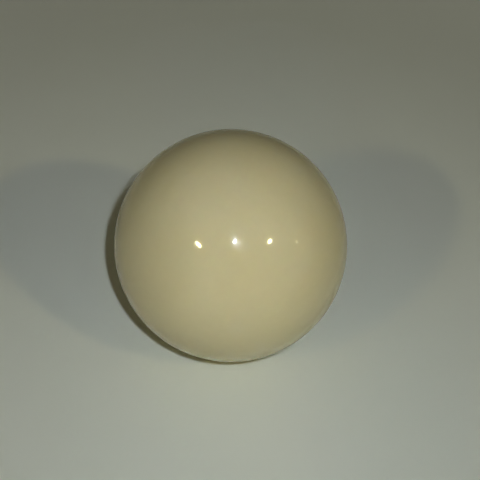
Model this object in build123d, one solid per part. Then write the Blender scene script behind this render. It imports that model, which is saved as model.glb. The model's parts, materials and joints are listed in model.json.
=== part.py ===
from build123d import *
import math
import os

# A plain cue ball for pool: one solid ball of cast phenolic resin, ground round and polished.
# It has no core, shell, plug, seam or inlay, so the whole object is a single solid piece.
# Frame: millimetres, +Z up, origin at the ball's centre, with the table touching it at -Z.

# Driving dimensions
INCH = 25.4
BALL_DIAMETER = 2.25 * INCH       # regulation pool ball, 57.15 mm
RESIN_DENSITY = 1.74e-6           # kg per cubic millimetre, filled phenolic casting resin

# Worked out from them
BALL_RADIUS = BALL_DIAMETER / 2


def make_cue_ball():
    """The ball: a true sphere about the origin, with its poles on the Z axis."""
    ball = Sphere(radius=BALL_RADIUS)
    ball.label = "cue_ball"
    return ball


def main():
    os.makedirs("parts", exist_ok=True)
    ball = make_cue_ball()
    export_step(ball, "parts/cue_ball.step")

    true_volume = 4 / 3 * math.pi * BALL_RADIUS**3
    print(f"diameter {BALL_DIAMETER:.3f} mm, table contact at z = {-BALL_RADIUS:.4f} mm")
    print(f"volume {ball.volume:.1f} mm3, sphere formula {true_volume:.1f} mm3")
    print(f"mass {ball.volume * RESIN_DENSITY:.4f} kg")


main()
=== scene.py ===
import json
import math

import bmesh
import bpy
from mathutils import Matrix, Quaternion, Vector

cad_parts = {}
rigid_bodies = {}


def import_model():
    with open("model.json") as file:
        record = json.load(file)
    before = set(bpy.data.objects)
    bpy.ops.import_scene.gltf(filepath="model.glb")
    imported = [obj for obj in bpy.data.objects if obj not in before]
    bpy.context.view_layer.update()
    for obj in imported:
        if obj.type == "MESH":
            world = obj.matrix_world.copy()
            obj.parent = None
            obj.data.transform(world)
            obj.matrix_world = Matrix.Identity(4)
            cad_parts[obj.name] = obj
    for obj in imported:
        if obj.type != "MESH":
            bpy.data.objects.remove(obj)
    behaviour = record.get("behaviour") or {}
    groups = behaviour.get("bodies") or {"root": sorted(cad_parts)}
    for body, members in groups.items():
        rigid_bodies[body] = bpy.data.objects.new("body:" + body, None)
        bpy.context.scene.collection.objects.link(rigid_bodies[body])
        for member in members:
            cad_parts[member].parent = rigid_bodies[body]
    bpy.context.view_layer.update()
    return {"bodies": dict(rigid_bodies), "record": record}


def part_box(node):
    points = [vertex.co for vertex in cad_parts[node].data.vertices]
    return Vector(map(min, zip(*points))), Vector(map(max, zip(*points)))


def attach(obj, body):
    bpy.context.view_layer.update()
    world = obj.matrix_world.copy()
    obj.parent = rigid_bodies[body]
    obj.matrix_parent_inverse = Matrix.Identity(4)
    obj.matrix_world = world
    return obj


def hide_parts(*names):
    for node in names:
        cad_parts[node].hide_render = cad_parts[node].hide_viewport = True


# The cue ball's looks: a finely meshed ball in polished, aged cream resin, which stands for the CAD
# ball, resting on a plain pale floor. Lengths are in metres, in the part's own frame, and angles in
# degrees, except where a comment says otherwise.

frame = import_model()

# ---- the ball, as the frame gives it --------------------------------------------------------
BALL_NODE = "cue_ball"
BODY = next(iter(frame["bodies"]))
LOW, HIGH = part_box(BALL_NODE)
RADIUS = (HIGH.z - LOW.z) / 2
CONTACT = Vector(frame["record"]["mounts"][0]["pos_m"])     # where the ball touches what it rests on
CENTRE = CONTACT + Vector((0, 0, RADIUS))
FLOOR_Z = CONTACT.z

# ---- the camera -----------------------------------------------------------------------------
CAMERA_DISTANCE = 11.83 * RADIUS         # from the ball's centre to the lens
CAMERA_ELEVATION = math.radians(43.6)    # above the floor
CAMERA_ROLL = math.radians(3.6)          # the picture's level leans a little
AIM_RIGHT = 0.079 * RADIUS               # the ball sits a little left of the middle of the picture
AIM_UP = 0.046 * RADIUS                  # and a little below it
SENSOR = 36.0                            # mm, square picture
LENS = 103.0                             # mm
NEAREST, FARTHEST = 0.01, 10.0           # what the camera can see, from the lens

# ---- the lights: powers in watts, sizes as (width, height) -----------------------------------
COOL = (0.82, 0.89, 1.0)                 # the flash
WARM = (1.0, 0.89, 0.54)                 # the room's lamps
SOFT = (1.0, 0.98, 0.82)                 # everything that comes off the room

# The flash, just beside the lens. What it lights, its mirror image and the haze round that image
# have a light each, because a sharp image and a soft glow need different sizes.
FLASH_FROM_CENTRE = (0.895, -8.846, 9.605)    # in radii
FLASH_AIM = (0.15, -0.5)                 # in radii right of and above the ball's centre, in the picture
FLASH_SPREAD = 90.0
FLASH_POWER, FLASH_SIZE = 0.150, (0.011, 0.019)
SHINE_POWER, SHINE_SIZE, SHINE_LEAN = 0.038, (0.006, 0.017), 22
HAZE_POWER, HAZE_SIZE, HAZE_LEAN = 0.040, (0.055, 0.135), 24

# The room's lamps: name, azimuth (clockwise from +Y, seen from above), elevation, power, size, lean.
LAMP_DISTANCE = 1.5
LAMPS = (
    ("lamp_left", -141.0, 35.6, 2.4, (0.17, 0.042), -17),
    ("lamp_right", 130.2, 38.3, 2.6, (0.092, 0.028), 18),
    ("lamp_far_right", 104.0, 21.1, 0.21, (0.028, 0.036), 0),
)

# The low light on the far side, a beam about as wide as the ball and less tall, so that hardly any
# of it reaches the floor or the rim that the camera sees.
FILL_AZIMUTH, FILL_ELEVATION, FILL_DISTANCE = 0, 6, 0.25
FILL_POWER, FILL_SIZE, FILL_SPREAD = 0.0031, (0.06, 0.026), 6.0

ROOM_STRENGTH = 0.076
VIEW_GAMMA = 0.77                        # a little more contrast than the plain view

# ---- the materials: noise scales are in waves per metre, about -------------------------------
CREAM = (0.696, 0.630, 0.411)
CREAM_AGED = (0.677, 0.605, 0.379)
MOTTLE_SHADE = (0.985, 0.985, 0.98)      # how far the mottling darkens the cream
CLOUD_SCALE, MOTTLE_SCALE, SMUDGE_SCALE = 38.0, 520.0, 85.0
POLISH = 0.09                            # the clean resin's roughness
SMUDGE_ROUGHNESS, SCRATCH_ROUGHNESS = 0.02, 0.08    # what smudges and scratches add to it
SCRATCH_TURNS = ((0.3, 0.9, 0.2), (1.3, 0.2, 1.1), (0.5, 2.1, 0.7), (2.4, 0.4, 1.9))    # radians
SCRATCH_ACROSS, SCRATCH_ALONG = 1400.0, 45.0
SCRATCH_WIDTH = 0.004                    # half a line's, in the noise's own 0 to 1
SCRATCH_PATCH_SCALE = 140.0
SCRATCH_DEPTH, SCRATCH_BUMP = 0.00001, 0.07
RESIN_IOR = 1.6
SCATTER_WEIGHT, SCATTER_RADIUS, SCATTER_SCALE = 0.25, (1.0, 0.75, 0.4), 0.002

FLOOR_COLOUR = (0.739, 0.759, 0.694)
FLOOR_SHADE = 0.97                       # the floor's darker tone, as a part of its colour
FLOOR_TONE_SCALE, FLOOR_ROUGHNESS, FLOOR_IOR = 6.0, 0.42, 1.45
BACKDROP_COLOUR = (0.36, 0.365, 0.325)

# ---- the meshes -----------------------------------------------------------------------------
BALL_CUTS = 95                           # across each of the ball's six faces
STAGE_STEPS_ROUND = 128
FLOOR_MIDDLE, FLOOR_RADIUS = 0.25, 2.0   # the radius of its middle disc, and of all of it
BACKDROP_START, BACKDROP_FULL = 0.14, 0.36    # distances over which the backdrop comes in
BACKDROP_FLAT, BACKDROP_CURVE, BACKDROP_WALL = 1.4, 0.5, 0.15    # two radii and a height
BACKDROP_LIFT = 0.0005                   # above the floor
BACKDROP_STEPS_UP = 24


def direction(azimuth, elevation):
    """The unit vector that points at a compass azimuth from +Y and an elevation, both in degrees."""
    a, e = math.radians(azimuth), math.radians(elevation)
    return Vector((math.sin(a) * math.cos(e), math.cos(a) * math.cos(e), math.sin(e)))


def link(obj):
    """The object, now in the scene."""
    bpy.context.scene.collection.objects.link(obj)
    return obj


# ---- node helpers ---------------------------------------------------------------------------
def new_material(name):
    """A node material with its Principled shader, and its nodes and links."""
    material = bpy.data.materials.new(name)
    material.use_nodes = True
    tree = material.node_tree
    return material, tree, tree.nodes["Principled BSDF"]


def add_node(tree, kind, **inputs):
    """A node of that kind. Keyword names are input sockets, with spaces as underscores."""
    node = tree.nodes.new(kind)
    for socket, value in inputs.items():
        node.inputs[socket.replace("_", " ")].default_value = value
    return node


def noise(tree, place, scale, detail=2.0, roughness=0.5, distortion=0.0):
    """A noise texture's value, from 0 to 1, at a place."""
    node = add_node(tree, "ShaderNodeTexNoise", Scale=scale, Detail=detail,
                    Roughness=roughness, Distortion=distortion)
    tree.links.new(place, node.inputs["Vector"])
    return node.outputs["Fac"]


def remap(tree, value, low, high, to_low, to_high):
    """value, moved from low..high to to_low..to_high and held at those ends."""
    node = add_node(tree, "ShaderNodeMapRange", From_Min=low, From_Max=high,
                    To_Min=to_low, To_Max=to_high)
    tree.links.new(value, node.inputs["Value"])
    return node.outputs["Result"]


def maths(tree, operation, a, b):
    """One arithmetic step on two values, each a socket or a number."""
    node = tree.nodes.new("ShaderNodeMath")
    node.operation = operation
    for socket, value in zip(node.inputs, (a, b)):
        if isinstance(value, (int, float)):
            socket.default_value = value
        else:
            tree.links.new(value, socket)
    return node.outputs["Value"]


def mix_colour(tree, factor, first, second, blend="MIX"):
    """Two colours mixed by a factor; each is a socket or an (r, g, b)."""
    node = tree.nodes.new("ShaderNodeMix")
    node.data_type = "RGBA"
    node.blend_type = blend
    sockets = [s for s in node.inputs if s.enabled]
    for socket, value in zip(sockets, (factor, first, second)):
        if isinstance(value, bpy.types.NodeSocket):
            tree.links.new(value, socket)
        elif isinstance(value, (int, float)):
            socket.default_value = value
        else:
            socket.default_value = (*value, 1.0)
    return next(s for s in node.outputs if s.enabled)


# ---- the resin ------------------------------------------------------------------------------
def hairlines(tree, place, turn):
    """Broken hairline scratches, 1 on a line and 0 off it: the middle level lines of a noise that
    is stretched along one direction, shown only in patches."""
    turned = add_node(tree, "ShaderNodeMapping", Rotation=turn,
                      Scale=(SCRATCH_ACROSS, SCRATCH_ALONG, SCRATCH_ALONG))
    tree.links.new(place, turned.inputs["Vector"])
    waves = noise(tree, turned.outputs["Vector"], 1.0, detail=1.0)
    off_line = maths(tree, "ABSOLUTE", maths(tree, "SUBTRACT", waves, 0.5), 0.0)
    line = remap(tree, off_line, 0.0, SCRATCH_WIDTH, 1.0, 0.0)
    patchy = noise(tree, place, SCRATCH_PATCH_SCALE, detail=1.0)
    return maths(tree, "MULTIPLY", line, remap(tree, patchy, 0.52, 0.60, 0.0, 1.0))


def resin_material():
    """Polished cast resin, cream and a little yellowed: faint clouds from the casting, fine
    mottling, finger smudges and hairline scratches that only show where light glances off."""
    material, tree, shader = new_material("cream_resin")
    place = tree.nodes.new("ShaderNodeTexCoord").outputs["Object"]

    cloudy = noise(tree, place, CLOUD_SCALE, detail=3.0, distortion=0.6)
    body = mix_colour(tree, remap(tree, cloudy, 0.35, 0.65, 0.0, 1.0), CREAM, CREAM_AGED)
    mottled = noise(tree, place, MOTTLE_SCALE, detail=4.0, roughness=0.6)
    grain = mix_colour(tree, remap(tree, mottled, 0.3, 0.7, 0.0, 1.0), MOTTLE_SHADE, (1.0, 1.0, 1.0))
    colour = mix_colour(tree, 1.0, body, grain, "MULTIPLY")

    smudged = noise(tree, place, SMUDGE_SCALE, detail=4.0, distortion=1.2)
    smudges = remap(tree, smudged, 0.45, 0.7, 0.0, 1.0)
    scratches = hairlines(tree, place, SCRATCH_TURNS[0])
    for turn in SCRATCH_TURNS[1:]:
        scratches = maths(tree, "MAXIMUM", scratches, hairlines(tree, place, turn))
    rough = maths(tree, "ADD", POLISH, maths(tree, "MULTIPLY", smudges, SMUDGE_ROUGHNESS))
    rough = maths(tree, "ADD", rough, maths(tree, "MULTIPLY", scratches, SCRATCH_ROUGHNESS))

    bump = add_node(tree, "ShaderNodeBump", Strength=SCRATCH_BUMP, Distance=SCRATCH_DEPTH)
    bump.invert = True                   # into the surface
    tree.links.new(scratches, bump.inputs["Height"])

    tree.links.new(colour, shader.inputs["Base Color"])
    tree.links.new(rough, shader.inputs["Roughness"])
    tree.links.new(bump.outputs["Normal"], shader.inputs["Normal"])
    shader.inputs["IOR"].default_value = RESIN_IOR
    shader.inputs["Subsurface Weight"].default_value = SCATTER_WEIGHT
    shader.inputs["Subsurface Radius"].default_value = SCATTER_RADIUS
    shader.inputs["Subsurface Scale"].default_value = SCATTER_SCALE
    return material


def make_ball():
    """The visible ball: a cube's faces cut into grids that are even in angle, pushed out onto the
    sphere, so it has no poles and every part of its outline is equally fine."""
    shell = bmesh.new()
    bmesh.ops.create_cube(shell, size=2.0)
    bmesh.ops.subdivide_edges(shell, edges=shell.edges[:], cuts=BALL_CUTS, use_grid_fill=True)
    for vertex in shell.verts:
        even = Vector([math.tan(math.pi / 4 * along) for along in vertex.co])
        vertex.co = CENTRE + even.normalized() * RADIUS
    for face in shell.faces:
        face.smooth = True
    mesh = bpy.data.meshes.new("ball")
    shell.to_mesh(mesh)
    shell.free()
    ball = link(bpy.data.objects.new("ball", mesh))
    mesh.materials.append(resin_material())
    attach(ball, BODY)
    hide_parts(BALL_NODE)


# ---- the stage ------------------------------------------------------------------------------
def floor_material():
    """A plain pale painted surface with a soft sheen."""
    material, tree, shader = new_material("pale_floor")
    place = tree.nodes.new("ShaderNodeTexCoord").outputs["Object"]
    uneven = noise(tree, place, FLOOR_TONE_SCALE, detail=5.0, roughness=0.6)
    tone = remap(tree, uneven, 0.3, 0.7, 0.0, 1.0)
    darker = tuple(FLOOR_SHADE * c for c in FLOOR_COLOUR)
    tree.links.new(mix_colour(tree, tone, darker, FLOOR_COLOUR), shader.inputs["Base Color"])
    shader.inputs["Roughness"].default_value = FLOOR_ROUGHNESS
    shader.inputs["IOR"].default_value = FLOOR_IOR
    return material


def backdrop_material():
    """An even pale glow that comes in gradually with the distance from the ball's axis."""
    material, tree, shader = new_material("pale_backdrop")
    place = tree.nodes.new("ShaderNodeTexCoord").outputs["Object"]
    level = tree.nodes.new("ShaderNodeVectorMath")
    level.operation = "MULTIPLY"
    level.inputs[1].default_value = (1.0, 1.0, 0.0)
    tree.links.new(place, level.inputs[0])
    away = tree.nodes.new("ShaderNodeVectorMath")
    away.operation = "LENGTH"
    tree.links.new(level.outputs["Vector"], away.inputs[0])
    shader.inputs["Base Color"].default_value = (0.0, 0.0, 0.0, 1.0)
    shader.inputs["Specular IOR Level"].default_value = 0.0
    shader.inputs["Emission Color"].default_value = (*BACKDROP_COLOUR, 1.0)
    shader.inputs["Emission Strength"].default_value = 1.0
    cover = remap(tree, away.outputs["Value"], BACKDROP_START, BACKDROP_FULL, 0.0, 1.0)
    tree.links.new(cover, shader.inputs["Alpha"])
    return material


def make_turned(name, profile, material):
    """A stage piece turned about the ball's axis from a profile of (distance from it, height)."""
    turned = bmesh.new()
    line = [turned.verts.new((away, 0.0, FLOOR_Z + height)) for away, height in profile]
    edges = [turned.edges.new(pair) for pair in zip(line, line[1:])]
    bmesh.ops.spin(turned, geom=line + edges, cent=(0, 0, 0), axis=(0, 0, 1), angle=math.tau,
                   steps=STAGE_STEPS_ROUND, use_merge=True)
    bmesh.ops.remove_doubles(turned, verts=turned.verts[:], dist=1e-5)
    bmesh.ops.recalc_face_normals(turned, faces=turned.faces[:])
    for face in turned.faces:
        face.smooth = True
    mesh = bpy.data.meshes.new(name)
    turned.to_mesh(mesh)
    turned.free()
    piece = link(bpy.data.objects.new(name, mesh))
    mesh.materials.append(material)
    return piece


def make_stage():
    """A flat round floor, and a pale backdrop that lies just over its outer part and curves up
    round it. Only the camera sees the backdrop, so the ball is lit as if in a dim room."""
    make_turned("floor", [(0.0, 0.0), (FLOOR_MIDDLE, 0.0), (FLOOR_RADIUS, 0.0)], floor_material())

    profile = [(BACKDROP_START, BACKDROP_LIFT)]
    for i in range(BACKDROP_STEPS_UP + 1):
        turn = math.pi / 2 * i / BACKDROP_STEPS_UP
        profile.append((BACKDROP_FLAT + BACKDROP_CURVE * math.sin(turn),
                        BACKDROP_LIFT + BACKDROP_CURVE * (1 - math.cos(turn))))
    profile.append((BACKDROP_FLAT + BACKDROP_CURVE, BACKDROP_CURVE + BACKDROP_WALL))
    backdrop = make_turned("backdrop", profile, backdrop_material())
    backdrop.visible_diffuse = False
    backdrop.visible_glossy = False
    backdrop.visible_transmission = False
    backdrop.visible_shadow = False


def make_light(name, place, aim, power, size, colour, lean=0.0, spread=180.0, shape="ELLIPSE",
               lights=True, mirrored=True):
    """A soft light at a place, facing its aim, leaning by an angle about its own axis. With
    mirrored off it only lights things, and with lights off it is only mirrored in them."""
    light = bpy.data.lights.new(name, "AREA")
    light.shape = shape
    light.size, light.size_y = size
    light.energy = power
    light.color = colour
    light.spread = math.radians(spread)
    obj = link(bpy.data.objects.new(name, light))
    obj.location = place
    facing = (aim - place).to_track_quat("-Z", "Y")
    obj.rotation_mode = "QUATERNION"
    obj.rotation_quaternion = facing @ Quaternion((0, 0, 1), math.radians(lean))
    obj.visible_camera = False
    obj.visible_diffuse = lights
    obj.visible_glossy = mirrored


def make_lights():
    """The flash beside the lens and the room's lamps, which the ball mirrors in a row, and a low
    light that fills the ball's far side."""
    picture = bpy.context.scene.camera.rotation_quaternion
    flash_place = CENTRE + Vector(FLASH_FROM_CENTRE) * RADIUS
    flash_aim = CENTRE + picture @ Vector((*FLASH_AIM, 0)) * RADIUS
    make_light("flash", flash_place, flash_aim, FLASH_POWER, FLASH_SIZE, COOL,
               spread=FLASH_SPREAD, mirrored=False)
    make_light("flash_shine", flash_place, flash_aim, SHINE_POWER, SHINE_SIZE, COOL,
               lean=SHINE_LEAN, spread=FLASH_SPREAD)
    make_light("flash_haze", flash_place, CENTRE, HAZE_POWER, HAZE_SIZE, COOL,
               lean=HAZE_LEAN, lights=False)
    for name, azimuth, elevation, power, size, lean in LAMPS:
        place = CENTRE + direction(azimuth, elevation) * LAMP_DISTANCE
        make_light(name, place, CENTRE, power, size, WARM, lean)
    behind = CENTRE + direction(FILL_AZIMUTH, FILL_ELEVATION) * FILL_DISTANCE
    make_light("fill", behind, CENTRE, FILL_POWER, FILL_SIZE, SOFT,
               spread=FILL_SPREAD, shape="RECTANGLE", mirrored=False)


def make_world():
    """The dim, even light that comes off the room."""
    world = bpy.data.worlds.new("studio")
    world.use_nodes = True
    sky = world.node_tree.nodes["Background"]
    sky.inputs["Color"].default_value = (*SOFT, 1.0)
    sky.inputs["Strength"].default_value = ROOM_STRENGTH
    bpy.context.scene.world = world


def make_camera():
    """The camera at the photograph's viewing angle, aimed a little off the ball's centre."""
    data = bpy.data.cameras.new("camera")
    data.sensor_width = SENSOR
    data.lens = LENS
    data.clip_start = NEAREST
    data.clip_end = FARTHEST
    camera = link(bpy.data.objects.new("camera", data))
    back = Vector((0.0, -math.cos(CAMERA_ELEVATION), math.sin(CAMERA_ELEVATION)))
    roll = Quaternion((0, 0, 1), CAMERA_ROLL)
    centred = (-back).to_track_quat("-Z", "Y") @ roll
    aim = CENTRE + centred @ Vector((AIM_RIGHT, AIM_UP, 0.0))
    camera.location = CENTRE + back * CAMERA_DISTANCE
    camera.rotation_mode = "QUATERNION"
    camera.rotation_quaternion = (aim - camera.location).to_track_quat("-Z", "Y") @ roll
    bpy.context.scene.camera = camera


make_camera()
make_ball()
make_stage()
make_lights()
make_world()
bpy.context.scene.view_settings.view_transform = "Standard"
bpy.context.scene.view_settings.gamma = VIEW_GAMMA
